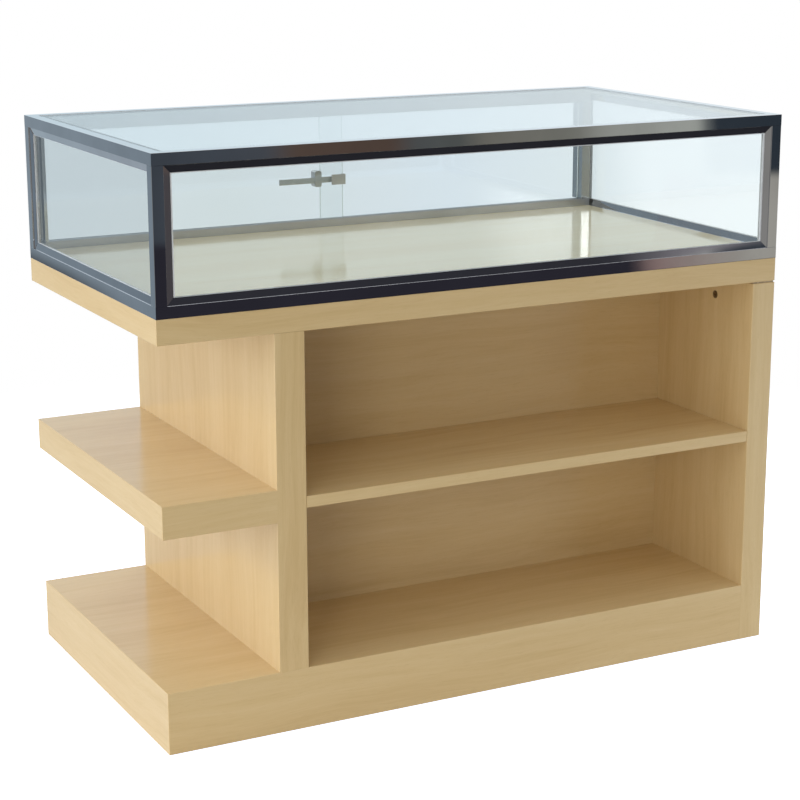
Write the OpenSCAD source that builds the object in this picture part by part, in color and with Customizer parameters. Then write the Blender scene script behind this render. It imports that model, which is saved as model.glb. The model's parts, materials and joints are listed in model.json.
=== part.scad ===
// Retail display showcase: a glazed case with sliding glass doors at the rear, on a laminated base
// with open shelves at the front, open end shelves on the left and a cupboard on the staff side.
// The origin is on the floor under the middle of the footprint. Customers stand at -Y, staff at +Y.

/* [Overall] */
// Width of the slab and the base
case_w = 1200; // [1100:10:1300]
// Depth from the customer side to the staff side
case_d = 640; // [600:10:700]
// Height from the floor to the top of the metal frame
case_h = 990; // [960:5:1050]

/* [Base boards] */
// Height of the plinth, with the base board on it
plinth_h = 108; // [90:1:130]
// Thickness of the laminated boards
board_t = 18; // [16:1:18]
// Thickness of the edging strips on the built-up boards
edging_t = 4; // [2:0.5:5]
// Thickness of the upright panel beside the end shelves
left_panel_t = 53; // [48:1:60]
// Thickness of the upright panel at the right end
right_panel_t = 48; // [44:1:60]
// How far the end shelves stand out from the left panel
end_shelf_w = 201; // [160:1:240]
// Height of the end shelf's underside
end_shelf_z = 370; // [330:1:400]
// Thickness of the end shelf
end_shelf_t = 56; // [44:1:60]
// Thickness of the slab under the glass case
slab_t = 42; // [40:1:50]
// Shadow gap between the right panel and the slab
slab_gap = 3; // [1:0.5:5]
// Depth of the open front compartments
front_depth = 292; // [260:1:320]
// Height of the top of the adjustable shelves
shelf_top_z = 409; // [380:1:430]
// Thickness of the adjustable shelves
shelf_t = 20; // [18:1:25]

/* [Staff-side cupboard] */
// Thickness of the sliding cupboard doors
cup_door_t = 12; // [10:1:12]
// Overlap of the closed cupboard doors
cup_overlap = 34; // [20:1:50]
// Outer radius of the recessed finger cups
cup_r = 17; // [14:1:20]

/* [Glass case] */
// Height of the glass case above the slab
glass_case_h = 260; // [240:5:300]
// Width of the square frame tube
tube = 20; // [20:1:25]
// Wall of the square frame tube
tube_wall = 1.2; // [1:0.1:1.5]
// Width of the glazing beads
bead_w = 12; // [10:1:14]
// Thickness of the side, front and door glass
glass_t = 5; // [4:0.5:5]
// Thickness of the top glass
top_glass_t = 8; // [6:1:8]
// Overlap of the closed glass doors
door_overlap = 43; // [40:1:60]
// Sideways place of the middle of that overlap
door_meet_x = -6; // [-10:1:10]

/* [Lock] */
// Height of the ratchet bar's middle above the floor
lock_z = 840; // [830:1:850]
// Length of the ratchet bar beyond the lock barrel
bar_tail = 74; // [50:1:80]

/* [Hidden] */
$fn = 40;

OAK = [0.83, 0.71, 0.51];
OAK_DARK = [0.72, 0.58, 0.38];
CORE = [0.76, 0.66, 0.50];
DECK = [0.93, 0.89, 0.78];
CHROME = [0.55, 0.57, 0.62];
STEEL = [0.75, 0.76, 0.78];
GLASS = [0.70, 0.86, 0.86, 0.35];
SEAL = [0.92, 0.93, 0.93];
NYLON = [0.88, 0.88, 0.86];

// Outer planes
x_end = case_w / 2;
y_end = case_d / 2;
// Radial clearance of a fitting in its bore, and the joint between strips that butt
fit = 0.05;
hairline = 0.1;

// Base levels
base_z = plinth_h;
slab_top_z = case_h - glass_case_h;
slab_z = slab_top_z - slab_t;
underside_t = 6;
right_top_z = slab_z - slab_gap;

// Upright panels
left_x0 = -x_end + end_shelf_w;
left_x1 = left_x0 + left_panel_t;
right_x0 = x_end - right_panel_t;
divider_y0 = -y_end + front_depth;
divider_y1 = divider_y0 + board_t;
batten_w = 60;
left_skin_x = [left_x0, left_x1 - board_t];
right_skin_x = [right_x0, x_end - board_t];

// Fittings of the base
dowel_r = 4;
dowel_l = 30;
dowel_y = 250;
cam_r = 7.5;
cam_depth = 13;
cam_y = 206;
cam_z = slab_z - 41;
bolt_r = 3.5;
bolt_top = slab_z + 20;
screw_r = 2.4;
screw_head_r = 4;
screw_head_h = 4;
base_screw_y = 180;
base_screw_top = base_z + 32;
shelf_screw_y = 150;
shelf_screw_l = 60;
pin_r = 2.5;
pin_in = 8;
pin_out = 7;
pin_z = shelf_top_z - shelf_t - pin_r;
rear_shelf_y1 = y_end - 50;

// Cupboard track and doors
ctrack_wall = 2;
ctrack_slot = cup_door_t + 2;
ctrack_w = 3 * ctrack_wall + 2 * ctrack_slot;
ctrack_y0 = y_end - 4 - ctrack_w;
ctrack_low_h = 10;
ctrack_up_h = 18;
cup_inner_y = ctrack_y0 + ctrack_wall + 1;
cup_outer_y = cup_inner_y + ctrack_slot + ctrack_wall;
cup_span = right_x0 - left_x1;
cup_gap = 1;
cup_door_w = (cup_span + cup_overlap) / 2 - cup_gap;
cup_door_z0 = base_z + ctrack_wall + 0.6;
cup_door_z1 = slab_z - 8;
cup_depth = 8;
cup_lip_t = 0.8;
cup_lip_r = cup_r + 2;
cup_z = base_z + 0.55 * (slab_z - base_z);
cup_inset = 45;

// Metal frame of the glass case
frame_z = slab_top_z;
low_z = frame_z + tube;
high_z = case_h - tube;
in_x = x_end - tube;
in_y = y_end - tube;
key_leg = 36;
key_s = tube - 2 * tube_wall - 0.2;
frame_screw_x = 400;
frame_screw_top = frame_z + 8;
frame_screw_r = 2;

// Glazing: clear openings of the frame, and depths measured inwards from its outer face
opening_w = 2 * in_x;
opening_d = 2 * in_y;
opening_h = high_z - low_z;
outer_bead_d = [2, 6];
bead_slope = 13;
seal_d = [6, 8 + glass_t];
glass_d = [7, 7 + glass_t];
inner_bead_d = [8 + glass_t, 12 + glass_t];
glass_margin = 2;
front_seal_lips = [3, 1.5, 0.4];
side_seal_lips = [0.8, 0.8, 0.4];
deck_t = tube;
deck_z = frame_z + deck_t;
top_glass_z1 = case_h - 0.6;
top_glass_z0 = top_glass_z1 - top_glass_t;
ledge = 10;
ledge_t = 1.5;

// Door tracks and glass doors
slot_w = 7.6;
rib_w = 4.4;
leg_t = 1.2;
track_w = 2 * leg_t + 2 * slot_w + rib_w;
track_y0 = in_y - track_w;
track_floor = 2;
low_track_z1 = deck_z + 14;
up_track_z0 = high_z - 15;
jamb_left_t = 6;
jamb_right_t = 19;
jamb_y1 = in_y + 16;
inner_pane_y = track_y0 + leg_t + (slot_w - glass_t) / 2;
outer_pane_y = inner_pane_y + slot_w + rib_w;
left_door_x0 = -in_x + jamb_left_t + 0.5;
right_door_x1 = in_x - jamb_right_t - 0.5;
left_door_x1 = door_meet_x + door_overlap / 2;
right_door_x0 = door_meet_x - door_overlap / 2;
door_z0 = deck_z + track_floor + 1.5;
door_z1 = high_z - 4;
glide_l = 40;
glide_inset = 60;
glide_wall = 0.9;
glide_foot = 1.3;
glide_top = 7;

// Ratchet lock on the glass doors
bar_h = 11;
bar_t = 2.8;
bar_y0 = inner_pane_y + glass_t + 2.1;
bar_y1 = bar_y0 + bar_t;
barrel_w = 14;
barrel_h = 31;
barrel_d = 18;
barrel_round = 4;
barrel_x1 = right_door_x0 - 0.5;
barrel_x0 = barrel_x1 - barrel_w;
barrel_y0 = inner_pane_y + glass_t + 0.5;
barrel_y1 = barrel_y0 + barrel_d;
barrel_z = lock_z + 2.5;
bar_x0 = barrel_x0 - bar_tail;
slot_gap = 0.4;
hook_x = left_door_x1 + 0.6;
hook_t = 4.5;
hook_plate_t = 1.6;
hook_h = 20;
hook_reach = 25;
plug_r = 5;
plug_gap = 0.1;
plug_x = (barrel_x0 + barrel_x1) / 2;
plug_y0 = bar_y1 + 1.6;
keyway_w = 1.6;
keyway_h = 6.4;
keyway_depth = 8;
tooth_pitch = 4;
tooth_s = 1.8;

// A box between two opposite corners
module block(lo, hi) {
    translate(lo) cube(hi - lo);
}

// A round bar or bore along an axis, from a start point
module rod_x(at, r, l) {
    translate(at) rotate([0, 90, 0]) cylinder(r = r, h = l);
}

module rod_y(at, r, l) {
    translate(at) rotate([-90, 0, 0]) cylinder(r = r, h = l);
}

module rod_z(at, r, l) {
    translate(at) cylinder(r = r, h = l);
}

// One mitred strip of a glazing bead, l long, with its face sloped down from the frame to its inner edge
module bead_strip(l, t) {
    g = hairline;
    b = bead_w;
    difference() {
        linear_extrude(t) polygon([[g, 0], [l - g, 0], [l - b - g, b], [b + g, b]]);
        rotate([bead_slope, 0, 0]) translate([-1, -b, -3 * t]) cube([l + 2, 3 * b, 3 * t]);
    }
}

// Four bead strips round a w by h opening, in the XY plane from its corner, faces towards -Z.
// A hairline joint keeps them separate pieces.
module bead_ring(w, h, t) {
    bead_strip(w, t);
    translate([0, h, 0]) mirror([0, 1, 0]) bead_strip(w, t);
    mirror([1, -1, 0]) bead_strip(h, t);
    translate([w, 0, 0]) mirror([1, 0, 0]) mirror([1, -1, 0]) bead_strip(h, t);
}

// Places XY artwork, its extrusion pointing inwards, on the front and on both ends of the case
module on_front(d) {
    translate([-in_x, -y_end + d, low_z]) rotate([90, 0, 0]) mirror([0, 0, 1]) children();
}

module on_left(d) {
    translate([-x_end + d, -in_y, low_z]) rotate([90, 0, 90]) children();
}

module on_right(d) {
    mirror([1, 0, 0]) on_left(d) children();
}

// Fittings of the base, r_add widens them into their bores
module all_dowels(r_add, l_add) {
    r = dowel_r + r_add;
    l = dowel_l + l_add;
    for (y = [-dowel_y, dowel_y]) {
        rod_z([left_x0 + board_t / 2, y, slab_z - l / 2], r, l);
        rod_z([x_end - board_t / 2, y, slab_z - l / 2], r, l);
        rod_z([left_x0 + board_t / 2, y, base_z - l / 2], r, l);
        rod_z([left_x1 - board_t / 2, y, base_z - l / 2], r, l);
        rod_x([right_x0 - l / 2, y, base_z - board_t / 2], r, l);
    }
    for (y = [-dowel_y, 0, dowel_y]) {
        rod_x([left_x0 - l / 2, y, end_shelf_z + board_t / 2], r, l);
        rod_x([left_x0 - l / 2, y, end_shelf_z + end_shelf_t - board_t / 2], r, l);
    }
    for (z = [base_z + 80, slab_z - 120], x = [left_x1, right_x0]) {
        rod_x([x - l / 2, divider_y0 + board_t / 2, z], r, l);
    }
}

module all_cam_bolts(r_add, l_add) {
    for (x = [left_x1 - board_t / 2, right_x0 + board_t / 2], y = [-cam_y, cam_y]) {
        rod_z([x, y, cam_z], bolt_r + r_add, bolt_top - cam_z + l_add);
    }
}

module all_cams(r_add, l_add) {
    for (y = [-cam_y, cam_y]) {
        rod_x([left_x1 - cam_depth - l_add, y, cam_z], cam_r + r_add, cam_depth + 2 * l_add);
        rod_x([right_x0 - l_add, y, cam_z], cam_r + r_add, cam_depth + 2 * l_add);
    }
}

// Screws up through the base board into the left panel, and through its outer skin into the end shelf
module all_screws(add) {
    for (x = [left_x0 + board_t / 2, left_x1 - board_t / 2], y = [-base_screw_y, base_screw_y]) {
        rod_z([x, y, base_z - board_t - add], screw_head_r + add, screw_head_h + add);
        rod_z([x, y, base_z - board_t], screw_r + add, board_t + base_screw_top - base_z + add);
    }
    for (y = [-shelf_screw_y, shelf_screw_y]) {
        z = end_shelf_z + end_shelf_t / 2;
        x = left_x0 + board_t;
        rod_x([x - screw_head_h, y, z], screw_head_r + add, screw_head_h + add);
        rod_x([x - shelf_screw_l - add, y, z], screw_r + add, shelf_screw_l + add);
    }
}

module all_pins(add) {
    shelf_y = [-y_end + 40, divider_y0 - 40, divider_y1 + 40, rear_shelf_y1 - 40];
    for (y = shelf_y) {
        rod_x([left_x1 - pin_in - add, y, pin_z], pin_r + add, pin_in + pin_out + add);
        rod_x([right_x0 - pin_out, y, pin_z], pin_r + add, pin_in + pin_out + add);
    }
}

// Everything that is drilled into the boards of the base
module base_bores() {
    all_dowels(fit, 1);
    all_cam_bolts(fit, 0.5);
    all_cams(fit, 0.2);
    all_screws(fit);
    all_pins(fit);
}

module drilled(c) {
    color(c) difference() {
        union() children();
        base_bores();
    }
}

// ---- Base ----

module base_board() {
    drilled(OAK) block([-x_end, -y_end, base_z - board_t], [right_x0, y_end, base_z]);
}

module plinth_front_board() {
    color(OAK) block([-x_end, -y_end, 0], [right_x0, -y_end + board_t, base_z - board_t]);
}

module plinth_rear_board() {
    color(OAK) block([-x_end, y_end - board_t, 0], [right_x0, y_end, base_z - board_t]);
}

module plinth_left_board() {
    y = y_end - board_t;
    color(OAK) block([-x_end, -y, 0], [-x_end + board_t, y, base_z - board_t]);
}

module plinth_cross_rails() {
    y = y_end - board_t;
    mid_x = (left_x1 + right_x0) / 2;
    for (x = [(left_x0 + left_x1 - board_t) / 2, mid_x, right_x0 - board_t]) {
        color(CORE) block([x, -y, 0], [x + board_t, y, base_z - board_t]);
    }
}

module left_panel_skins() {
    y = y_end - edging_t;
    drilled(OAK) for (x = left_skin_x) {
        block([x, -y, base_z], [x + board_t, y, slab_z]);
    }
}

module right_panel_skins() {
    y = y_end - edging_t;
    drilled(OAK) for (x = right_skin_x) {
        block([x, -y, 0], [x + board_t, y, right_top_z]);
    }
}

module panel_edging() {
    color(OAK) for (y = [-y_end, y_end - edging_t]) {
        block([left_x0, y, base_z], [left_x1, y + edging_t, slab_z]);
        block([right_x0, y, 0], [x_end, y + edging_t, right_top_z]);
    }
}

// A frame of battens that fills the hollow between two skins of an upright panel
module panel_core(x0, x1, z0, z1) {
    y = y_end - edging_t;
    yi = y - batten_w;
    block([x0, -y, z0], [x1, -yi, z1]);
    block([x0, yi, z0], [x1, y, z1]);
    block([x0, -yi, z0], [x1, yi, z0 + batten_w]);
    block([x0, -yi, z1 - batten_w], [x1, yi, z1]);
}

// A frame of battens that fills the hollow of a level board, with its cross battens at given places
module level_core(x0, x1, z0, z1, cross_x) {
    y = y_end - edging_t;
    yi = y - batten_w;
    block([x0, -y, z0], [x1, -yi, z1]);
    block([x0, yi, z0], [x1, y, z1]);
    for (x = cross_x) {
        block([x, -yi, z0], [x + batten_w, yi, z1]);
    }
}

module core_battens() {
    x_in = x_end - edging_t;
    drilled(CORE) {
        panel_core(left_x0 + board_t, left_x1 - board_t, base_z, slab_z);
        panel_core(right_x0 + board_t, x_end - board_t, 0, right_top_z);
        level_core(-x_in, left_x0, end_shelf_z + board_t, end_shelf_z + end_shelf_t - board_t,
            [-x_in, left_x0 - batten_w]);
        level_core(-x_in, x_in, slab_z + underside_t, slab_top_z - board_t,
            [-x_in, left_x0, (left_x1 + right_x0) / 2, x_in - batten_w]);
    }
}

module divider_board() {
    drilled(OAK_DARK) block([left_x1, divider_y0, base_z], [right_x0, divider_y1, slab_z]);
}

module end_shelf_level(z) {
    y = y_end - edging_t;
    drilled(OAK) block([-x_end + edging_t, -y, z], [left_x0, y, z + board_t]);
}

module end_shelf_top_board() {
    end_shelf_level(end_shelf_z + end_shelf_t - board_t);
}

module end_shelf_bottom_board() {
    end_shelf_level(end_shelf_z);
}

module end_shelf_edging() {
    z0 = end_shelf_z;
    z1 = end_shelf_z + end_shelf_t;
    y = y_end - edging_t;
    side_y = y - hairline;
    color(OAK) {
        block([-x_end, -y_end, z0], [left_x0, -y, z1]);
        block([-x_end, y, z0], [left_x0, y_end, z1]);
        block([-x_end, -side_y, z0], [-x_end + edging_t, side_y, z1]);
    }
}

module slab_top_board() {
    x = x_end - edging_t;
    y = y_end - edging_t;
    color(OAK) difference() {
        block([-x, -y, slab_top_z - board_t], [x, y, slab_top_z]);
        all_frame_screws(fit);
    }
}

module slab_underside_panel() {
    x = x_end - edging_t;
    y = y_end - edging_t;
    drilled(OAK) block([-x, -y, slab_z], [x, y, slab_z + underside_t]);
}

module slab_edging() {
    x = x_end - edging_t;
    y = y_end - edging_t;
    side_y = y - hairline;
    color(OAK) {
        block([-x_end, -y_end, slab_z], [x_end, -y, slab_top_z]);
        block([-x_end, y, slab_z], [x_end, y_end, slab_top_z]);
        block([-x_end, -side_y, slab_z], [-x, side_y, slab_top_z]);
        block([x, -side_y, slab_z], [x_end, side_y, slab_top_z]);
    }
}

// Strip that carries the slab over the right panel and closes the shadow gap all round
module slab_spacers() {
    inset = 2;
    y = y_end - inset;
    drilled(CORE) block([right_x0 + inset, -y, right_top_z], [x_end - inset, y, slab_z]);
}

module shelf_board(y0, y1) {
    side_gap = 0.5;
    color(OAK) {
        block([left_x1 + side_gap, y0, shelf_top_z - shelf_t], [right_x0 - side_gap, y1, shelf_top_z]);
    }
}

module front_shelf() {
    shelf_board(-y_end, divider_y0 - 0.5);
}

module rear_shelf() {
    shelf_board(divider_y1 + 0.5, rear_shelf_y1);
}

module shelf_pins() {
    color(STEEL) all_pins(0);
}

// Cam lock: a round housing with a driver recess, bored for the bolt that it draws down
module cam_locks() {
    color(STEEL) difference() {
        all_cams(0, 0);
        all_cam_bolts(fit, 0);
        for (y = [-cam_y, cam_y], x = [left_x1, right_x0], turn = [0, 90]) {
            translate([x, y, cam_z]) rotate([turn, 0, 0]) cube([3, 1.4, 9], center = true);
        }
    }
}

module cam_bolts() {
    color(STEEL) all_cam_bolts(0, 0);
}

module dowels() {
    color(CORE) all_dowels(0, 0);
}

module carcass_screws() {
    color(STEEL) all_screws(0);
}

// ---- Staff-side cupboard ----

// Two side-by-side channels along X, open upwards
module double_channel(x0, x1, h, wall, slot, rib) {
    w = 2 * wall + 2 * slot + rib;
    difference() {
        block([x0, 0, 0], [x1, w, h]);
        for (y = [wall, wall + slot + rib]) {
            block([x0 - 1, y, 2], [x1 + 1, y + slot, h + 1]);
        }
    }
}

module cupboard_lower_track() {
    color(STEEL) translate([0, ctrack_y0, base_z]) {
        double_channel(left_x1, right_x0, ctrack_low_h, ctrack_wall, ctrack_slot, ctrack_wall);
    }
}

module cupboard_upper_track() {
    color(STEEL) translate([0, ctrack_y0, slab_z]) mirror([0, 0, 1]) {
        double_channel(left_x1, right_x0, ctrack_up_h, ctrack_wall, ctrack_slot, ctrack_wall);
    }
}

// A sliding door with a blind round seat in its rear face for the finger cup
module cupboard_door(x0, y0, cup_x) {
    color(OAK) difference() {
        block([x0, y0, cup_door_z0], [x0 + cup_door_w, y0 + cup_door_t, cup_door_z1]);
        rod_y([cup_x, y0 + cup_door_t - cup_depth - fit, cup_z], cup_r + fit, cup_depth + 1);
    }
}

module finger_cup(cup_x, face_y) {
    color(STEEL) difference() {
        union() {
            rod_y([cup_x, face_y - cup_depth, cup_z], cup_r, cup_depth);
            rod_y([cup_x, face_y, cup_z], cup_lip_r, cup_lip_t);
        }
        rod_y([cup_x, face_y - cup_depth + 1.2, cup_z], cup_r - 1.2, cup_depth + 1);
    }
}

module cupboard_door_left() {
    cupboard_door(left_x1 + cup_gap, cup_outer_y, left_x1 + cup_inset);
}

module cupboard_door_right() {
    cupboard_door(right_x0 - cup_gap - cup_door_w, cup_inner_y, right_x0 - cup_inset);
}

module finger_cup_left() {
    finger_cup(left_x1 + cup_inset, cup_outer_y + cup_door_t);
}

module finger_cup_right() {
    finger_cup(right_x0 - cup_inset, cup_inner_y + cup_door_t);
}

// ---- Metal frame ----

// Corner sockets: the square holes that let the keys pass from the level rails into the posts
module corner_sockets(z0, z1) {
    s = tube / 2 - tube_wall;
    for (x = [-1, 1], y = [-1, 1]) {
        translate([x * (x_end - tube / 2), y * (y_end - tube / 2), 0]) block([-s, -s, z0], [s, s, z1]);
    }
}

// Square tube along X, centred, its outer face at y = 0 and its ends mitred towards the inner face
module mitred_tube(l) {
    difference() {
        linear_extrude(tube) {
            polygon([[-l / 2, 0], [l / 2, 0], [l / 2 - tube, tube], [-l / 2 + tube, tube]]);
        }
        block([-l, tube_wall, tube_wall], [l, tube - tube_wall, tube - tube_wall]);
    }
}

module rail_front(z) {
    translate([0, -y_end, z]) mitred_tube(case_w);
}

module rail_left(z) {
    translate([-x_end, 0, z]) rotate([0, 0, -90]) mitred_tube(case_d);
}

module bottom_rail() {
    color(CHROME) difference() {
        children();
        corner_sockets(low_z - 2 * tube_wall, low_z + 1);
        all_frame_screws(fit);
    }
}

module top_rail() {
    color(CHROME) difference() {
        children();
        corner_sockets(high_z - 1, high_z + 2 * tube_wall);
    }
}

module bottom_rail_front() {
    bottom_rail() rail_front(frame_z);
}

module bottom_rail_rear() {
    bottom_rail() mirror([0, 1, 0]) rail_front(frame_z);
}

module bottom_rail_left() {
    bottom_rail() rail_left(frame_z);
}

module bottom_rail_right() {
    bottom_rail() mirror([1, 0, 0]) rail_left(frame_z);
}

module top_rail_front() {
    top_rail() rail_front(high_z);
}

module top_rail_rear() {
    top_rail() mirror([0, 1, 0]) rail_front(high_z);
}

module top_rail_left() {
    top_rail() rail_left(high_z);
}

module top_rail_right() {
    top_rail() mirror([1, 0, 0]) rail_left(high_z);
}

module corner_posts() {
    color(CHROME) difference() {
        for (x = [-x_end, in_x], y = [-y_end, in_y]) {
            block([x, y, low_z], [x + tube, y + tube, high_z]);
        }
        corner_sockets(low_z - 1, high_z + 1);
    }
}

// Three-way key: one leg in each of the tubes that meet at a corner
module corner_key() {
    h = key_s / 2;
    block([-h, -h, -h], [key_leg, h, h]);
    block([-h, -h, -h], [h, key_leg, h]);
    block([-h, -h, -h], [h, h, key_leg]);
}

module corner_keys() {
    color(NYLON) for (mx = [0, 1], my = [0, 1]) {
        mirror([mx, 0, 0]) mirror([0, my, 0]) translate([-x_end + tube / 2, -y_end + tube / 2, 0]) {
            translate([0, 0, frame_z + tube / 2]) corner_key();
            translate([0, 0, case_h - tube / 2]) mirror([0, 0, 1]) corner_key();
        }
    }
}

module all_frame_screws(add) {
    z0 = slab_top_z - board_t;
    for (x = [-frame_screw_x, 0, frame_screw_x], y = [-y_end + tube / 2, y_end - tube / 2]) {
        rod_z([x, y, z0 - add], screw_head_r + add, screw_head_h + add);
        rod_z([x, y, z0], frame_screw_r + add, frame_screw_top - z0);
    }
}

module frame_screws() {
    color(STEEL) all_frame_screws(0);
}

// ---- Glazing ----

module pane(w) {
    m = glass_margin;
    linear_extrude(glass_t) translate([m, m]) square([w - 2 * m, opening_h - 2 * m]);
}

module front_glass() {
    color(GLASS) on_front(glass_d[0]) pane(opening_w);
}

module left_glass() {
    color(GLASS) on_left(glass_d[0]) pane(opening_d);
}

module right_glass() {
    color(GLASS) on_right(glass_d[0]) pane(opening_d);
}

module top_glass() {
    g = 0.5;
    color(GLASS) block([-in_x + g, -in_y + g, top_glass_z0], [in_x - g, in_y - g, top_glass_z1]);
}

// Angle strips inside the top rails that carry the top glass; the upper door track carries its rear edge
module top_glass_ledges() {
    g = 0.2;
    z0 = top_glass_z0 - ledge;
    z1 = top_glass_z0;
    color(STEEL) {
        difference() {
            block([-in_x, -in_y, z0], [in_x, -in_y + ledge, z1]);
            block([-x_end, -in_y + ledge_t, z0 - 1], [x_end, in_y, z1 - ledge_t]);
        }
        for (side = [0, 1]) {
            mirror([side, 0, 0]) difference() {
                block([-in_x, -in_y + ledge + g, z0], [-in_x + ledge, track_y0 - g, z1]);
                block([-in_x + ledge_t, -y_end, z0 - 1], [0, y_end, z1 - ledge_t]);
            }
        }
    }
}

// Rings in the front and in both ends, d deep in the frame, sloped on their outer or their inner face
module bead_rings(d, inside) {
    t = d[1] - d[0];
    at = inside ? d[1] : d[0];
    side = [0, 0, inside ? 1 : 0];
    on_front(at) mirror(side) bead_ring(opening_w, opening_h, t);
    on_left(at) mirror(side) bead_ring(opening_d, opening_h, t);
    on_right(at) mirror(side) bead_ring(opening_d, opening_h, t);
}

module outer_beads() {
    color(CHROME) bead_rings(outer_bead_d, false);
}

module inner_beads() {
    color(CHROME) bead_rings(inner_bead_d, true);
}

// U-shaped gasket round a pane; its lips show past the beads at the sides, the top and the bottom
module seal_ring(w, lips) {
    b = bead_w + lips[0];
    low = bead_w + lips[2];
    high = opening_h - bead_w - lips[1];
    g = glass_d[0] - seal_d[0];
    m = glass_margin;
    difference() {
        linear_extrude(seal_d[1] - seal_d[0]) difference() {
            square([w, opening_h]);
            translate([b, low]) square([w - 2 * b, high - low]);
        }
        translate([m, m, g]) cube([w - 2 * m, opening_h - 2 * m, glass_t]);
    }
}

module glass_seals() {
    color(SEAL) {
        on_front(seal_d[0]) seal_ring(opening_w, front_seal_lips);
        on_left(seal_d[0]) seal_ring(opening_d, side_seal_lips);
        on_right(seal_d[0]) seal_ring(opening_d, side_seal_lips);
    }
}

module display_deck() {
    g = 0.5;
    color(DECK) block([-in_x + g, -in_y + g, frame_z], [in_x - g, in_y - g, deck_z]);
}

// ---- Sliding glass doors ----

module lower_door_track() {
    color(STEEL) translate([0, track_y0, deck_z]) {
        double_channel(-in_x, in_x, low_track_z1 - deck_z, leg_t, slot_w, rib_w);
    }
}

module upper_door_track() {
    color(STEEL) translate([0, track_y0, top_glass_z0]) mirror([0, 0, 1]) {
        double_channel(-in_x, in_x, top_glass_z0 - up_track_z0, leg_t, slot_w, rib_w);
    }
}

module door_jambs() {
    color(STEEL) {
        block([-in_x, track_y0, low_track_z1], [-in_x + jamb_left_t, jamb_y1, up_track_z0]);
        block([in_x - jamb_right_t, track_y0, low_track_z1], [in_x, jamb_y1, up_track_z0]);
    }
}

module glass_door(x0, x1, y0) {
    color(GLASS) block([x0, y0, door_z0], [x1, y0 + glass_t, door_z1]);
}

module glass_door_left() {
    glass_door(left_door_x0, left_door_x1, inner_pane_y);
}

module glass_door_right() {
    glass_door(right_door_x0, right_door_x1, outer_pane_y);
}

// Nylon shoes that wrap the lower edge of a pane and run in the track
module glides(x0, x1, y0) {
    for (x = [x0 + glide_inset, x1 - glide_inset - glide_l]) {
        color(NYLON) difference() {
            block([x, y0 - glide_wall, door_z0 - glide_foot],
                [x + glide_l, y0 + glass_t + glide_wall, door_z0 + glide_top]);
            block([x - 1, y0, door_z0], [x + glide_l + 1, y0 + glass_t, door_z0 + glide_top + 1]);
        }
    }
}

module door_glides_left() {
    glides(left_door_x0, left_door_x1, inner_pane_y);
}

module door_glides_right() {
    glides(right_door_x0, right_door_x1, outer_pane_y);
}

// ---- Lock ----

// Toothed bar between the panes, hooked round the edge of the inner door
module lock_bar() {
    hook_y0 = inner_pane_y - hook_plate_t - 0.6;
    z0 = lock_z - bar_h / 2;
    z1 = lock_z + bar_h / 2;
    color(STEEL) difference() {
        union() {
            block([bar_x0, bar_y0, z0], [hook_x + hook_t, bar_y1, z1]);
            block([hook_x, hook_y0, lock_z - hook_h / 2], [hook_x + hook_t, bar_y1, lock_z + hook_h / 2]);
            block([hook_x - hook_reach, hook_y0, lock_z - hook_h / 2],
                [hook_x + hook_t, hook_y0 + hook_plate_t, lock_z + hook_h / 2]);
        }
        for (x = [bar_x0 + 1.5 * tooth_pitch : tooth_pitch : right_door_x0]) {
            translate([x, bar_y0 - 1, z1]) rotate([0, 45, 0]) cube([tooth_s, bar_t + 2, tooth_s]);
        }
    }
}

module lock_barrel() {
    r = barrel_round;
    z0 = barrel_z - barrel_h / 2;
    color(STEEL) difference() {
        union() {
            block([barrel_x0, barrel_y0, z0 + r], [barrel_x1, barrel_y1, z0 + barrel_h - r]);
            block([barrel_x0 + r, barrel_y0, z0], [barrel_x1 - r, barrel_y1, z0 + barrel_h]);
            for (x = [barrel_x0 + r, barrel_x1 - r], z = [r, barrel_h - r]) {
                rod_y([x, barrel_y0, z0 + z], r, barrel_d);
            }
        }
        block([barrel_x0 - 1, bar_y0 - slot_gap, lock_z - bar_h / 2 - slot_gap],
            [barrel_x1 + 1, bar_y1 + slot_gap, lock_z + bar_h / 2 + slot_gap]);
        rod_y([plug_x, plug_y0 - slot_gap, barrel_z], plug_r + plug_gap, barrel_y1 - plug_y0 + 2);
    }
}

module lock_plug() {
    color(STEEL) difference() {
        rod_y([plug_x, plug_y0, barrel_z], plug_r, barrel_y1 - plug_y0 + 0.8);
        block([plug_x - keyway_w / 2, barrel_y1 - keyway_depth, barrel_z - keyway_h / 2],
            [plug_x + keyway_w / 2, barrel_y1 + 2, barrel_z + keyway_h / 2]);
    }
}

base_board();
plinth_front_board();
plinth_rear_board();
plinth_left_board();
plinth_cross_rails();
left_panel_skins();
right_panel_skins();
panel_edging();
core_battens();
divider_board();
end_shelf_top_board();
end_shelf_bottom_board();
end_shelf_edging();
slab_top_board();
slab_underside_panel();
slab_edging();
slab_spacers();
front_shelf();
rear_shelf();
shelf_pins();
cam_locks();
cam_bolts();
dowels();
carcass_screws();
cupboard_lower_track();
cupboard_upper_track();
cupboard_door_left();
cupboard_door_right();
finger_cup_left();
finger_cup_right();
bottom_rail_front();
bottom_rail_rear();
bottom_rail_left();
bottom_rail_right();
top_rail_front();
top_rail_rear();
top_rail_left();
top_rail_right();
corner_posts();
corner_keys();
frame_screws();
front_glass();
left_glass();
right_glass();
top_glass();
top_glass_ledges();
outer_beads();
inner_beads();
glass_seals();
display_deck();
lower_door_track();
upper_door_track();
door_jambs();
glass_door_left();
glass_door_right();
door_glides_left();
door_glides_right();
lock_bar();
lock_barrel();
lock_plug();
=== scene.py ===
"""Looks of the glass display showcase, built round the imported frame. Metres, customer side at -Y."""

import json
import math

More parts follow.
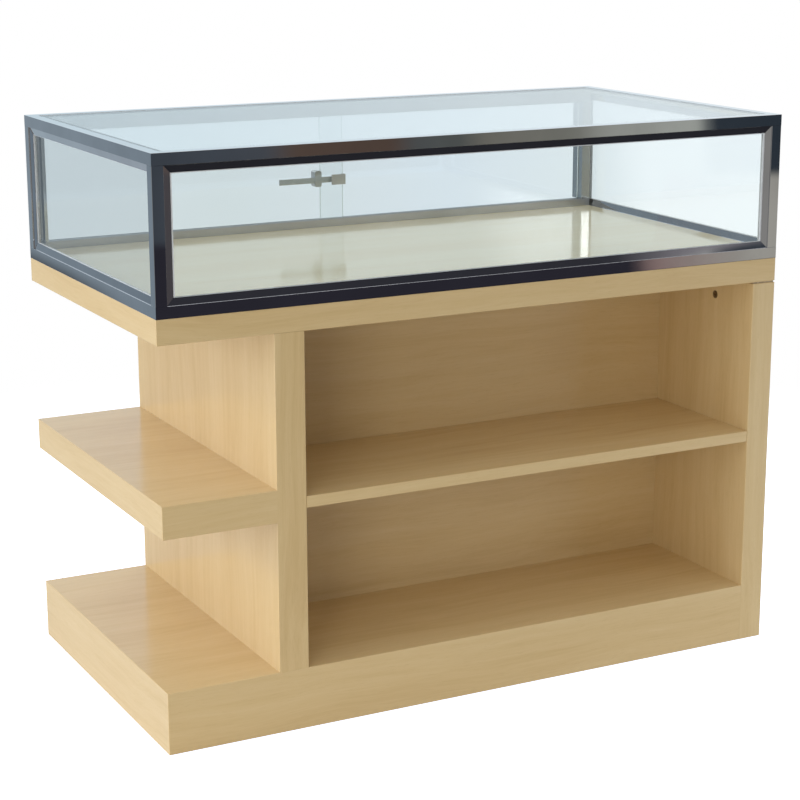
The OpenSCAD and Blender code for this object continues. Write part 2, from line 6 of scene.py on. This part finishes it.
import bmesh
import bpy
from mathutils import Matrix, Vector


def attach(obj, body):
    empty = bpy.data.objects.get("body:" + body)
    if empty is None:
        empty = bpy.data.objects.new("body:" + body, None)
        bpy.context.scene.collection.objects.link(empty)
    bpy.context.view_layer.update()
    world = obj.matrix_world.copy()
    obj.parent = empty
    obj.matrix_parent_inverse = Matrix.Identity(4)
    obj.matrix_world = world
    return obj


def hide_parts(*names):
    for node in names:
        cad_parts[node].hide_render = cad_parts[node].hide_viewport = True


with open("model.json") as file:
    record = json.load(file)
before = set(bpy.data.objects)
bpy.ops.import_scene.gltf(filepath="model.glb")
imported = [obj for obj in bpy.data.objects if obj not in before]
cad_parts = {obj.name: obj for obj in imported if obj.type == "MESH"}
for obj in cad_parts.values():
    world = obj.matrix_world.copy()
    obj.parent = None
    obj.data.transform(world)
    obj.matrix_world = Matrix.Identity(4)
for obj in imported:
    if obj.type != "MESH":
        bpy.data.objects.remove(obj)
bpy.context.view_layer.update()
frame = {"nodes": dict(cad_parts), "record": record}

# ---------------------------------------------------------------- small helpers for shader nodes


def make(tree, kind, inputs=None, **settings):
    """One shader node, its inputs set to values or linked to sockets."""
    node = tree.nodes.new(kind)
    for name, value in settings.items():
        setattr(node, name, value)
    for name, value in (inputs or {}).items():
        if isinstance(value, bpy.types.NodeSocket):
            tree.links.new(value, node.inputs[name])
        else:
            node.inputs[name].default_value = value
    return node


def calc(tree, operation, a, b=0.0, c=0.0):
    return make(tree, "ShaderNodeMath", {0: a, 1: b, 2: c}, operation=operation).outputs[0]


def vector_calc(tree, operation, a, b, output=0):
    return make(tree, "ShaderNodeVectorMath", {0: a, 1: b}, operation=operation).outputs[output]


def ramp(tree, factor, stops):
    """A colour ramp with stops of (place, colour)."""
    node = make(tree, "ShaderNodeValToRGB", {"Fac": factor})
    ramp_stops = node.color_ramp.elements
    while len(ramp_stops) < len(stops):
        ramp_stops.new(1.0)
    for element, (place, colour) in zip(ramp_stops, stops):
        element.position = place
        element.color = (*colour, 1.0)
    return node.outputs["Color"]


def step(tree, value, low, high):
    """0 below low, 1 above high, smooth between."""
    node = make(tree, "ShaderNodeMapRange", {"Value": value, "From Min": low, "From Max": high},
                interpolation_type="SMOOTHSTEP")
    return node.outputs["Result"]


def blend_colour(tree, factor, a, b, mode="MIX"):
    node = make(tree, "ShaderNodeMix", data_type="RGBA", blend_type=mode)
    for socket, value in ((node.inputs[0], factor), (node.inputs[6], a), (node.inputs[7], b)):
        if isinstance(value, bpy.types.NodeSocket):
            tree.links.new(value, socket)
        elif isinstance(value, (int, float)):
            socket.default_value = value
        else:
            socket.default_value = (*value, 1.0)
    return node.outputs[2]


def stretched_noise(tree, scales, seed, detail=2.0, roughness=0.5, place=None):
    """Noise on the piece's own coordinates, with its own frequency per metre on each axis."""
    place = place or make(tree, "ShaderNodeTexCoord").outputs["Object"]
    mapping = make(tree, "ShaderNodeMapping",
                   {"Vector": place, "Location": (seed * 3.7, seed * 1.9, seed * 5.3), "Scale": scales})
    noise = make(tree, "ShaderNodeTexNoise",
                 {"Vector": mapping.outputs[0], "Scale": 1.0, "Detail": detail, "Roughness": roughness})
    return noise.outputs["Fac"]


def new_material(name):
    material = bpy.data.materials.new(name)
    material.use_nodes = True
    tree = material.node_tree
    tree.nodes.clear()
    shader = make(tree, "ShaderNodeBsdfPrincipled")
    output = make(tree, "ShaderNodeOutputMaterial", {"Surface": shader.outputs[0]})
    return material, tree, shader, output


def link(tree, socket, shader, name):
    tree.links.new(socket, shader.inputs[name])


def bump(tree, height, shader, strength, distance):
    node = make(tree, "ShaderNodeBump", {"Height": height, "Strength": strength, "Distance": distance})
    link(tree, node.outputs[0], shader, "Normal")


# ---------------------------------------------------------------- materials

OAK_LIGHT = (0.745, 0.565, 0.300)
OAK_MID = (0.705, 0.520, 0.262)
OAK_DARK = (0.640, 0.455, 0.215)
OAK_PORE = (0.560, 0.385, 0.175)
GRAIN_SWAY = 0.05
LAMINATE_IOR = 1.52
GLASS_IOR = 1.5
oak_materials = {}


def along_axis(axis, along, across):
    scales = [across, across, across]
    scales["xyz".index(axis)] = along
    return scales


def wandering_place(tree, axis, seed, sway):
    """The piece's own coordinates, bent slowly by up to half the sway, which is in metres."""
    place = make(tree, "ShaderNodeTexCoord").outputs["Object"]
    mapping = make(tree, "ShaderNodeMapping",
                   {"Vector": place, "Location": (seed * 2.3, seed * 4.1, seed * 1.7),
                    "Scale": along_axis(axis, 2.6, 5.0)})
    bend = make(tree, "ShaderNodeTexNoise", {"Vector": mapping.outputs[0], "Scale": 1.0, "Detail": 1.0})
    centred = vector_calc(tree, "SUBTRACT", bend.outputs["Color"], (0.5, 0.5, 0.5))
    shift = vector_calc(tree, "MULTIPLY", centred, (sway, sway, sway))
    return vector_calc(tree, "ADD", place, shift)


def oak(axis, seed=0.0):
    """Light oak laminate, semi-gloss: fine grain that wanders a little along one axis, faint pores."""
    key = f"oak_laminate_{axis}_{int(seed)}"
    if key in oak_materials:
        return oak_materials[key]
    material, tree, shader, _ = new_material(key)
    place = wandering_place(tree, axis, seed, GRAIN_SWAY)
    clouds = stretched_noise(tree, along_axis(axis, 1.6, 5.0), seed + 5.9, 3.0, 0.6, place)
    bands = stretched_noise(tree, along_axis(axis, 0.7, 14.0), seed + 0.3, 3.0, 0.6, place)
    streaks = stretched_noise(tree, along_axis(axis, 3.0, 75.0), seed + 1.1, 4.0, 0.65, place)
    fibres = stretched_noise(tree, along_axis(axis, 12.0, 420.0), seed + 2.7, 3.0, 0.6, place)
    pores = stretched_noise(tree, along_axis(axis, 40.0, 950.0), seed + 4.1, 1.0, 0.5, place)
    tone = calc(tree, "MULTIPLY_ADD", bands, 0.36, calc(tree, "MULTIPLY", streaks, 0.30))
    tone = calc(tree, "MULTIPLY_ADD", clouds, 0.18, tone)
    tone = calc(tree, "MULTIPLY_ADD", fibres, 0.16, tone)
    colour = ramp(tree, tone, ((0.36, OAK_DARK), (0.49, OAK_MID), (0.62, OAK_LIGHT)))
    pore_mask = step(tree, pores, 0.62, 0.74)
    colour = blend_colour(tree, calc(tree, "MULTIPLY", pore_mask, 0.28), colour, OAK_PORE)
    link(tree, colour, shader, "Base Color")
    rough = calc(tree, "MULTIPLY_ADD", fibres, 0.10, 0.12)
    link(tree, calc(tree, "MULTIPLY_ADD", pore_mask, 0.08, rough), shader, "Roughness")
    shader.inputs["IOR"].default_value = LAMINATE_IOR
    bump(tree, calc(tree, "MULTIPLY_ADD", pore_mask, -0.6, fibres), shader, 0.05, 0.0004)
    oak_materials[key] = material
    return material


def raw_wood():
    """Unfinished wood with short chips of several browns."""
    material, tree, shader, _ = new_material("core_wood")
    chips = stretched_noise(tree, (160.0, 160.0, 160.0), 2.0, 4.0, 0.7)
    colour = ramp(tree, chips, (
        (0.3, (0.30, 0.21, 0.12)), (0.5, (0.50, 0.38, 0.23)), (0.7, (0.62, 0.50, 0.33))))
    link(tree, colour, shader, "Base Color")
    link(tree, calc(tree, "MULTIPLY_ADD", chips, 0.2, 0.65), shader, "Roughness")
    bump(tree, chips, shader, 0.3, 0.0006)
    return material


def deck_laminate():
    """Pale high-gloss laminate with a barely visible grain along X."""
    material, tree, shader, _ = new_material("deck_laminate")
    bands = stretched_noise(tree, (0.8, 14.0, 14.0), 1.3, 3.0, 0.6)
    fibres = stretched_noise(tree, (6.0, 260.0, 260.0), 2.6, 3.0, 0.6)
    tone = calc(tree, "MULTIPLY_ADD", bands, 0.65, calc(tree, "MULTIPLY", fibres, 0.35))
    colour = ramp(tree, tone, ((0.35, (0.93, 0.80, 0.53)), (0.65, (0.97, 0.875, 0.61))))
    link(tree, colour, shader, "Base Color")
    link(tree, calc(tree, "MULTIPLY_ADD", fibres, 0.06, 0.08), shader, "Roughness")
    bump(tree, fibres, shader, 0.02, 0.0002)
    return material


def metal(name, colour, rough, rough_spread, scales, lines, seed=0.0, bare=1.0):
    """Metal with its own smudges and fine working lines; bare is how metallic it looks, up to 1."""
    material, tree, shader, _ = new_material(name)
    shader.inputs["Metallic"].default_value = bare
    smudges = stretched_noise(tree, (9.0, 9.0, 9.0), seed + 0.7, 4.0, 0.6)
    grain = stretched_noise(tree, scales, seed + 3.3, 2.0)
    dull = tuple(0.9 * c for c in colour)
    link(tree, ramp(tree, smudges, ((0.35, dull), (0.65, colour))), shader, "Base Color")
    rough_socket = calc(tree, "MULTIPLY_ADD", step(tree, smudges, 0.42, 0.66), rough_spread, rough)
    link(tree, calc(tree, "MULTIPLY_ADD", grain, rough_spread, rough_socket), shader, "Roughness")
    bump(tree, grain, shader, lines, 0.0001)
    return material


def plastic(name, colour, rough, seed=0.0):
    """Satin plastic or rubber with a faint mottle."""
    material, tree, shader, _ = new_material(name)
    mottle = stretched_noise(tree, (120.0, 120.0, 120.0), seed, 3.0)
    dull = tuple(0.92 * c for c in colour)
    link(tree, ramp(tree, mottle, ((0.35, dull), (0.65, colour))), shader, "Base Color")
    link(tree, calc(tree, "MULTIPLY_ADD", mottle, 0.15, rough - 0.07), shader, "Roughness")
    bump(tree, mottle, shader, 0.05, 0.0002)
    return material


def glass(name, tint, shade):
    """Float glass that lamps reach through; faint smears show in its gloss."""
    material, tree, shader, output = new_material(name)
    shader.inputs["Base Color"].default_value = (*tint, 1.0)
    shader.inputs["Transmission Weight"].default_value = 1.0
    shader.inputs["IOR"].default_value = GLASS_IOR
    smears = stretched_noise(tree, (5.0, 5.0, 9.0), 6.1, 5.0, 0.65)
    link(tree, calc(tree, "MULTIPLY", step(tree, smears, 0.56, 0.75), 0.012), shader, "Roughness")
    clear = make(tree, "ShaderNodeBsdfTransparent", {"Color": (*shade, 1.0)})
    path = make(tree, "ShaderNodeLightPath")
    lamp_ray = calc(tree, "MAXIMUM", path.outputs["Is Shadow Ray"], path.outputs["Is Diffuse Ray"])
    mix = make(tree, "ShaderNodeMixShader", {0: lamp_ray, 1: shader.outputs[0], 2: clear.outputs[0]})
    tree.links.new(mix.outputs[0], output.inputs["Surface"])
    return material


def glass_edge():
    """The ground and polished rim of a pane: pale green and milky, with only a little light passing."""
    material, tree, shader, _ = new_material("glass_edge")
    grinding = stretched_noise(tree, (90.0, 90.0, 90.0), 8.3, 3.0)
    colour = ramp(tree, grinding, ((0.35, (0.78, 0.88, 0.86)), (0.65, (0.86, 0.94, 0.92))))
    link(tree, colour, shader, "Base Color")
    link(tree, calc(tree, "MULTIPLY_ADD", grinding, 0.16, 0.12), shader, "Roughness")
    shader.inputs["Transmission Weight"].default_value = 0.10
    shader.inputs["IOR"].default_value = GLASS_IOR
    bump(tree, grinding, shader, 0.04, 0.0002)
    return material


MATERIAL_OF_SLOT = {
    "core_wood": raw_wood(),
    "deck_laminate": deck_laminate(),
    "polished_steel": metal("polished_steel", (0.66, 0.67, 0.70), rough=0.010, rough_spread=0.014,
                            scales=(400.0, 400.0, 400.0), lines=0.002, seed=1.0),
    "anodised_aluminium": metal("anodised_aluminium", (0.70, 0.71, 0.73), rough=0.26, rough_spread=0.05,
                                scales=(3.0, 700.0, 700.0), lines=0.06, seed=2.0),
    "zinc_steel": metal("zinc_steel", (0.62, 0.61, 0.58), rough=0.30, rough_spread=0.08,
                        scales=(300.0, 300.0, 300.0), lines=0.05, seed=3.0),
    "lock_chrome": metal("lock_chrome", (0.66, 0.68, 0.66), rough=0.22, rough_spread=0.05,
                         scales=(500.0, 500.0, 500.0), lines=0.02, seed=4.0, bare=0.55),
    "clear_glass": glass("clear_glass", tint=(0.965, 0.990, 0.992), shade=(0.93, 0.95, 0.95)),
    "clear_seal": plastic("clear_seal", (0.80, 0.82, 0.82), 0.35, 1.0),
    "nylon": plastic("nylon", (0.78, 0.78, 0.75), 0.45, 2.0),
}

GLASS_EDGE = glass_edge()
# Nodes that look different from the rest of their slot
OWN_MATERIAL = {
    "door_jambs": metal("bright_aluminium", (0.76, 0.78, 0.78), rough=0.09, rough_spread=0.03,
                        scales=(700.0, 700.0, 3.0), lines=0.02, seed=6.0),
    # The cam locks are a dark brown, much darker than the zinc of their slot.
    "cam_locks": metal("dark_brown_cam_metal", (0.30, 0.25, 0.19), rough=0.38, rough_spread=0.08,
                       scales=(300.0, 300.0, 300.0), lines=0.05, seed=5.0),
}

# ---------------------------------------------------------------- the pieces

# Grain direction of each wood piece's faces that look along X, Y and Z, and the seed of its grain
GRAIN = {
    "base_board": ("yxx", 1), "plinth_front_board": ("yxx", 1), "plinth_rear_board": ("yxx", 1),
    "plinth_left_board": ("yxx", 1), "left_panel_skins": ("zzy", 2), "right_panel_skins": ("zzy", 3),
    "panel_edging": ("zzy", 4), "divider_board": ("zxx", 5), "end_shelf_top_board": ("yxx", 6),
    "end_shelf_bottom_board": ("yxx", 6), "end_shelf_edging": ("yxx", 6), "slab_top_board": ("yxx", 7),
    "slab_underside_panel": ("yxx", 7), "slab_edging": ("yxx", 7), "front_shelf": ("yxx", 8),
    "rear_shelf": ("yxx", 9), "cupboard_door_left": ("zzx", 10), "cupboard_door_right": ("zzx", 11),
}
RECORD = frame["record"]
SLOT_OF_NODE = {part["node"]: part["material_slot"] for part in RECORD["subparts"]}
BODY_OF_NODE = {node: body for body, nodes in RECORD["behaviour"]["bodies"].items() for node in nodes}
HIDDEN_INSIDE = ("core_battens", "dowels", "cam_bolts", "carcass_screws", "frame_screws", "corner_keys")
EDGE_RADIUS = {
    "oak_laminate": 0.0009, "deck_laminate": 0.0006, "polished_steel": 0.0005,
    "anodised_aluminium": 0.00025, "clear_glass": 0.0006, "lock_chrome": 0.0005, "nylon": 0.0002,
    "clear_seal": 0.0002, "zinc_steel": 0.0003, "core_wood": 0.0004,
}
SHORTEST_ROUNDED_EDGE = 0.004


def clean_mesh(node):
    """The CAD node's mesh in a bmesh, its split corners joined and its flat faces whole."""
    shape = bmesh.new()
    shape.from_mesh(frame["nodes"][node].data)
    bmesh.ops.remove_doubles(shape, verts=shape.verts, dist=1e-6)
    bmesh.ops.dissolve_limit(shape, angle_limit=math.radians(0.4), verts=shape.verts, edges=shape.edges)
    shape.normal_update()
    return shape


def islands(shape):
    """Lowest and highest corner of each separate solid."""
    boxes, seen = [], set()
    for start in shape.verts:
        if start in seen:
            continue
        stack, points = [start], []
        seen.add(start)
        while stack:
            vert = stack.pop()
            points.append(vert.co)
            for edge in vert.link_edges:
                other = edge.other_vert(vert)
                if other not in seen:
                    seen.add(other)
                    stack.append(other)
        boxes.append((Vector(map(min, *points)), Vector(map(max, *points))))
    return boxes


def flat_axis(normal):
    """0, 1 or 2 for a face that looks along X, Y or Z, else None."""
    for i in range(3):
        if abs(normal[i]) > 0.999:
            return i
    return None


def is_outer_edge(edge, boxes):
    """True for a straight convex edge between two flat faces that no other solid carries on."""
    if len(edge.link_faces) != 2 or not edge.is_convex:
        return False
    a, b = (face.normal for face in edge.link_faces)
    if flat_axis(a) is None or flat_axis(b) is None or abs(a.dot(b)) > 0.01:
        return False
    if edge.calc_length() < SHORTEST_ROUNDED_EDGE:
        return False
    middle = (edge.verts[0].co + edge.verts[1].co) / 2
    tiny = 0.0004
    for probe in (middle + tiny * (a - b), middle + tiny * (b - a), middle + tiny * (a + b)):
        for low, high in boxes:
            if all(low[i] < probe[i] < high[i] for i in range(3)):
                return False
    return True


def round_edges(shape, radius, boxes):
    edges = [edge for edge in shape.edges if is_outer_edge(edge, boxes)]
    if edges:
        bmesh.ops.bevel(shape, geom=edges, offset=radius, offset_type="OFFSET", segments=3, profile=0.5,
                        affect="EDGES", clamp_overlap=True, miter_outer="SHARP")


def paint_pane(mesh):
    """Clear glass on both sides of a pane, the ground look on its narrow faces."""
    mesh.materials.append(MATERIAL_OF_SLOT["clear_glass"])
    mesh.materials.append(GLASS_EDGE)
    spans = [max(v.co[i] for v in mesh.vertices) - min(v.co[i] for v in mesh.vertices) for i in range(3)]
    thin = spans.index(min(spans))
    for face in mesh.polygons:
        face.material_index = 0 if abs(face.normal[thin]) > 0.9 else 1


def paint_faces(mesh, node):
    """The node's material, with the grain of each wood face along its board."""
    slot = SLOT_OF_NODE[node]
    if slot == "clear_glass":
        paint_pane(mesh)
        return
    if node in OWN_MATERIAL:
        mesh.materials.append(OWN_MATERIAL[node])
        return
    if node not in GRAIN:
        mesh.materials.append(MATERIAL_OF_SLOT[slot])
        return
    axes, seed = GRAIN[node]
    order = sorted(set(axes))
    for axis in order:
        mesh.materials.append(oak(axis, seed))
    for face in mesh.polygons:
        facing = max(range(3), key=lambda i: abs(face.normal[i]))
        face.material_index = order.index(axes[facing])


def smooth_narrow_faces(piece):
    """Smooth shading in which large flat faces stay flat, sharp where faces meet at over 35 degrees."""
    piece.data.shade_smooth()
    piece.data.set_sharp_from_angle(angle=math.radians(35))
    weighting = piece.modifiers.new("flat_faces", "WEIGHTED_NORMAL")
    weighting.weight = 100
    weighting.keep_sharp = True


def finished_piece(node, shape):
    """A visible piece for a CAD node: rides on its body and replaces the node."""
    mesh = bpy.data.meshes.new(f"{node}_finished")
    shape.to_mesh(mesh)
    shape.free()
    paint_faces(mesh, node)
    piece = bpy.data.objects.new(f"{node}_finished", mesh)
    bpy.context.scene.collection.objects.link(piece)
    smooth_narrow_faces(piece)
    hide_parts(node)
    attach(piece, BODY_OF_NODE[node])


def paint_hidden_node(node):
    obj = frame["nodes"][node]
    obj.data.materials.clear()
    obj.data.materials.append(MATERIAL_OF_SLOT[SLOT_OF_NODE[node]])


shapes = {node: clean_mesh(node) for node in frame["nodes"] if node not in HIDDEN_INSIDE}
solid_boxes = {node: islands(shape) for node, shape in shapes.items()}
for node in HIDDEN_INSIDE:
    paint_hidden_node(node)
for node, shape in shapes.items():
    same_stuff = [box for other, boxes in solid_boxes.items() for box in boxes
                  if SLOT_OF_NODE[other] == SLOT_OF_NODE[node]]
    round_edges(shape, EDGE_RADIUS[SLOT_OF_NODE[node]], same_stuff)
    finished_piece(node, shape)

# ---------------------------------------------------------------- light, floor and camera

# Power of the lamps in watts
KEY_POWER = 12.0
RIM_POWER = 28.0
FILL_POWER = 3.4
REAR_POWER = 40.0
# Strength of the surroundings in mirrors, and of the soft light that the boards pass on, from each side
MIRROR_STRENGTH = 0.89
SOFT_RIGHT_BACK_UP = (0.0, 0.0, 0.73)
SOFT_LEFT_FRONT_DOWN = (0.95, 0.0, 0.0)
# Glow of the floor: as it lights the counter, and as the camera sees it
FLOOR_GLOW = 0.13
FLOOR_GLOW_SEEN = 0.88
FLOOR_TINT = (0.90, 1.0, 1.22)
WHITE = (1.0, 1.0, 1.0)


def facing(tree, direction, sign, strengths):
    """How much of a direction lies along each axis with the given sign, weighted by the strengths."""
    turned = vector_calc(tree, "MULTIPLY", direction, (sign, sign, sign))
    part = vector_calc(tree, "MAXIMUM", turned, (0.0, 0.0, 0.0))
    return vector_calc(tree, "DOT_PRODUCT", part, strengths, "Value")


def shop_in_front(tree, x, z, glossy_depth):
    """Mirrored on the customer side: a dark shop, paler to the right.

    The bright window above it shows only in mirrors seen in other mirrors, such as a post in the deck.
    """
    shop = ramp(tree, x, (
        (0.25, (0.34, 0.33, 0.31)), (0.32, (0.06, 0.07, 0.085)), (0.375, (0.085, 0.10, 0.12)),
        (0.400, (0.09, 0.10, 0.115)), (0.412, (0.13, 0.090, 0.070)), (0.455, (0.13, 0.088, 0.068)),
        (0.466, (0.11, 0.12, 0.12)), (0.485, (0.13, 0.14, 0.13)), (0.495, (0.23, 0.22, 0.185)),
        (0.534, (0.28, 0.28, 0.24)), (0.545, (0.44, 0.45, 0.40)), (0.583, (0.52, 0.54, 0.48)),
        (0.587, (0.04, 0.053, 0.068)), (0.66, (0.04, 0.053, 0.068)), (0.72, (0.16, 0.12, 0.105))))
    shop_low = ramp(tree, x, (
        (0.25, (0.34, 0.33, 0.31)), (0.32, (0.035, 0.033, 0.045)), (0.553, (0.035, 0.033, 0.045)),
        (0.561, (0.36, 0.25, 0.23)), (0.60, (0.50, 0.48, 0.42)), (0.66, (0.46, 0.44, 0.38)),
        (0.70, (0.10, 0.090, 0.095))))
    shop_low = blend_colour(tree, step(tree, z, -0.42, -0.30), (0.030, 0.030, 0.036), shop_low)
    window = ramp(tree, x, (
        (0.49, (0.10, 0.11, 0.12)), (0.508, (6.0, 6.0, 6.0)), (0.550, (6.0, 6.0, 6.0)),
        (0.570, (0.30, 0.30, 0.31))))
    over_window = ramp(tree, x, ((0.545, (0.045, 0.045, 0.055)), (0.58, (0.34, 0.32, 0.34))))
    # The low part begins lower where x is under 0.56
    drop = 0.035
    height = calc(tree, "MULTIPLY_ADD", step(tree, x, 0.560, 0.570), -drop, calc(tree, "ADD", z, drop))
    front = blend_colour(tree, step(tree, height, -0.133, -0.127), shop_low, shop)
    mirrored_twice = calc(tree, "GREATER_THAN", glossy_depth, 1.5)
    window_height = calc(tree, "MULTIPLY", mirrored_twice, step(tree, z, 0.115, 0.135))
    front = blend_colour(tree, window_height, front, window)
    front = blend_colour(tree, step(tree, z, 0.194, 0.200), front, over_window)
    return blend_colour(tree, step(tree, z, 0.40, 0.70), front, (0.55, 0.57, 0.60))


def wall_behind(tree, sideways, z):
    """Mirrored on the staff side: a cool wall, darker to the left, over a pale grey floor."""
    wall = ramp(tree, sideways, (
        (0.30, (0.225, 0.28, 0.33)), (0.37, (0.355, 0.43, 0.485)), (0.42, (0.58, 0.70, 0.78)),
        (0.62, (0.68, 0.84, 0.93)), (0.80, (0.95, 1.05, 1.1))))
    # A low dark place at the left, whose upper edge rises towards the middle
    sides = calc(tree, "SUBTRACT", step(tree, sideways, 0.330, 0.348), step(tree, sideways, 0.370, 0.380))
    below = step(tree, calc(tree, "SUBTRACT", calc(tree, "MULTIPLY", sideways, 1.2), z), 0.588, 0.602)
    dark_place = calc(tree, "MULTIPLY", calc(tree, "MULTIPLY", sides, below), step(tree, z, -0.225, -0.205))
    wall = blend_colour(tree, dark_place, wall, (0.02, 0.02, 0.025))
    wall = blend_colour(tree, step(tree, z, 0.12, 0.24), wall, (0.93, 1.04, 1.12))
    return blend_colour(tree, step(tree, z, -0.30, -0.22), (0.50, 0.56, 0.62), wall)


def build_world():
    """A showroom: plain white to the camera, with its own look for mirrors, panes and boards."""
    world = bpy.data.worlds.new("showroom")
    bpy.context.scene.world = world
    world.use_nodes = True
    tree = world.node_tree
    tree.nodes.clear()
    ray_vector = make(tree, "ShaderNodeTexCoord").outputs["Generated"]
    ray = make(tree, "ShaderNodeSeparateXYZ", {0: ray_vector})
    x, y, z = ray.outputs
    sideways = calc(tree, "MULTIPLY_ADD", x, 0.5, 0.5)
    path = make(tree, "ShaderNodeLightPath")
    glossy_depth = path.outputs["Glossy Depth"]
    # What mirrors see, under a white ceiling
    front = shop_in_front(tree, x, z, glossy_depth)
    back = wall_behind(tree, sideways, z)
    mirrored = blend_colour(tree, step(tree, y, -0.15, 0.15), front, back)
    mirrored = blend_colour(tree, step(tree, z, 0.45, 0.75), mirrored, (1.2, 1.2, 1.2))
    mirrored = blend_colour(tree, 1.0, mirrored, (MIRROR_STRENGTH,) * 3, "MULTIPLY")
    # What a look straight through the glass sees
    through = ramp(tree, sideways, (
        (0.66, (0.76, 0.83, 0.86)), (0.69, (0.74, 0.81, 0.83)), (0.74, (0.80, 0.88, 0.95)),
        (0.77, (0.86, 0.93, 0.96)), (0.78, (1.05, 1.10, 1.13))))
    # What lights the boards after a first bounce: one strength for each of the six directions
    soft = calc(tree, "ADD", facing(tree, ray_vector, 1.0, SOFT_RIGHT_BACK_UP),
                facing(tree, ray_vector, -1.0, SOFT_LEFT_FRONT_DOWN))
    unmirrored = calc(tree, "SUBTRACT", 1.0, calc(tree, "MINIMUM", glossy_depth, 1.0))
    straight = calc(tree, "MULTIPLY", path.outputs["Is Transmission Ray"], unmirrored)
    seen = blend_colour(tree, straight, mirrored, through)
    seen = blend_colour(tree, calc(tree, "MINIMUM", path.outputs["Diffuse Depth"], 1.0), seen, soft)
    seen = blend_colour(tree, path.outputs["Is Camera Ray"], seen, WHITE)
    light = make(tree, "ShaderNodeBackground", {"Color": seen, "Strength": 1.0})
    make(tree, "ShaderNodeOutputWorld", {"Surface": light.outputs[0]})


def add_softbox(name, place, target, size, power, tint=WHITE):
    """A rectangular lamp that lights the boards but shows neither directly nor in a mirror."""
    lamp = bpy.data.lights.new(name, "AREA")
    lamp.shape = "RECTANGLE"
    lamp.size, lamp.size_y = size
    lamp.energy = power
    lamp.color = tint
    holder = bpy.data.objects.new(name, lamp)
    holder.location = place
    holder.rotation_euler = (Vector(target) - Vector(place)).to_track_quat("-Z", "Y").to_euler()
    holder.visible_camera = False
    holder.visible_transmission = False
    holder.visible_glossy = False
    bpy.context.scene.collection.objects.link(holder)


def build_floor(radius=2.3, fade=0.7):
    """A round pale floor that fades out into the white surroundings."""
    material, tree, shader, output = new_material("pale_floor")
    shader.inputs["Base Color"].default_value = (0.93, 0.93, 0.93, 1.0)
    place = make(tree, "ShaderNodeTexCoord").outputs["Object"]
    mottle = make(tree, "ShaderNodeTexNoise", {"Vector": place, "Scale": 30.0, "Detail": 3.0})
    link(tree, calc(tree, "MULTIPLY_ADD", mottle.outputs["Fac"], 0.1, 0.75), shader, "Roughness")
    distance = make(tree, "ShaderNodeVectorMath", {0: place}, operation="LENGTH").outputs["Value"]
    shader.inputs["Emission Color"].default_value = (*FLOOR_TINT, 1.0)
    near = calc(tree, "SUBTRACT", 1.0, step(tree, distance, 0.5, 1.4))
    seen = make(tree, "ShaderNodeLightPath").outputs["Is Camera Ray"]
    lighting = calc(tree, "MULTIPLY", near, FLOOR_GLOW)
    glow = make(tree, "ShaderNodeMapRange", {"Value": seen, "To Min": lighting, "To Max": FLOOR_GLOW_SEEN})
    link(tree, glow.outputs[0], shader, "Emission Strength")
    clear = make(tree, "ShaderNodeBsdfTransparent")
    edge = step(tree, distance, radius - fade, radius)
    mix = make(tree, "ShaderNodeMixShader", {0: edge, 1: shader.outputs[0], 2: clear.outputs[0]})
    tree.links.new(mix.outputs[0], output.inputs["Surface"])
    shape = bmesh.new()
    bmesh.ops.create_circle(shape, cap_ends=True, segments=96, radius=radius)
    mesh = bpy.data.meshes.new("floor")
    shape.to_mesh(mesh)
    shape.free()
    mesh.materials.append(material)
    floor = bpy.data.objects.new("floor", mesh)
    floor.location.z = -0.0005
    floor.visible_glossy = False
    bpy.context.scene.collection.objects.link(floor)


def add_camera(azimuth=-27.48, elevation=13.96, roll=-0.11, distance=3.752, lens=90.96,
               target=(-0.0056, 0.0, 0.4629)):
    """The photo's view, in degrees: the azimuth counts from straight in front, to the right."""
    lens_data = bpy.data.cameras.new("camera")
    lens_data.lens = lens
    lens_data.sensor_width = 36.0
    camera = bpy.data.objects.new("camera", lens_data)
    turn, rise = math.radians(azimuth), math.radians(elevation)
    away = Vector((math.sin(turn) * math.cos(rise), -math.cos(turn) * math.cos(rise), math.sin(rise)))
    camera.location = Vector(target) + distance * away
    camera.rotation_euler = (-away).to_track_quat("-Z", "Y").to_euler()
    camera.rotation_euler.rotate_axis("Z", math.radians(roll))
    bpy.context.scene.collection.objects.link(camera)
    bpy.context.scene.camera = camera


build_world()
build_floor()
add_softbox("key_front_left", (-2.10, -2.45, 0.95), (0.0, 0.0, 0.45), (0.80, 0.80), KEY_POWER,
            tint=(1.0, 0.975, 0.88))
add_softbox("side_left", (-3.30, 0.40, 1.00), (0.0, 0.1, 0.45), (2.2, 1.6), RIM_POWER,
            tint=(0.95, 1.03, 1.30))
add_softbox("fill_right", (1.45, -1.35, 0.30), (0.60, -0.30, 0.35), (0.6, 0.6), FILL_POWER,
            tint=(0.80, 0.95, 1.30))
add_softbox("rear_right", (2.60, 3.00, 1.20), (0.0, 0.0, 0.45), (2.4, 1.6), REAR_POWER)
add_camera()
bpy.context.scene.view_settings.view_transform = "Standard"
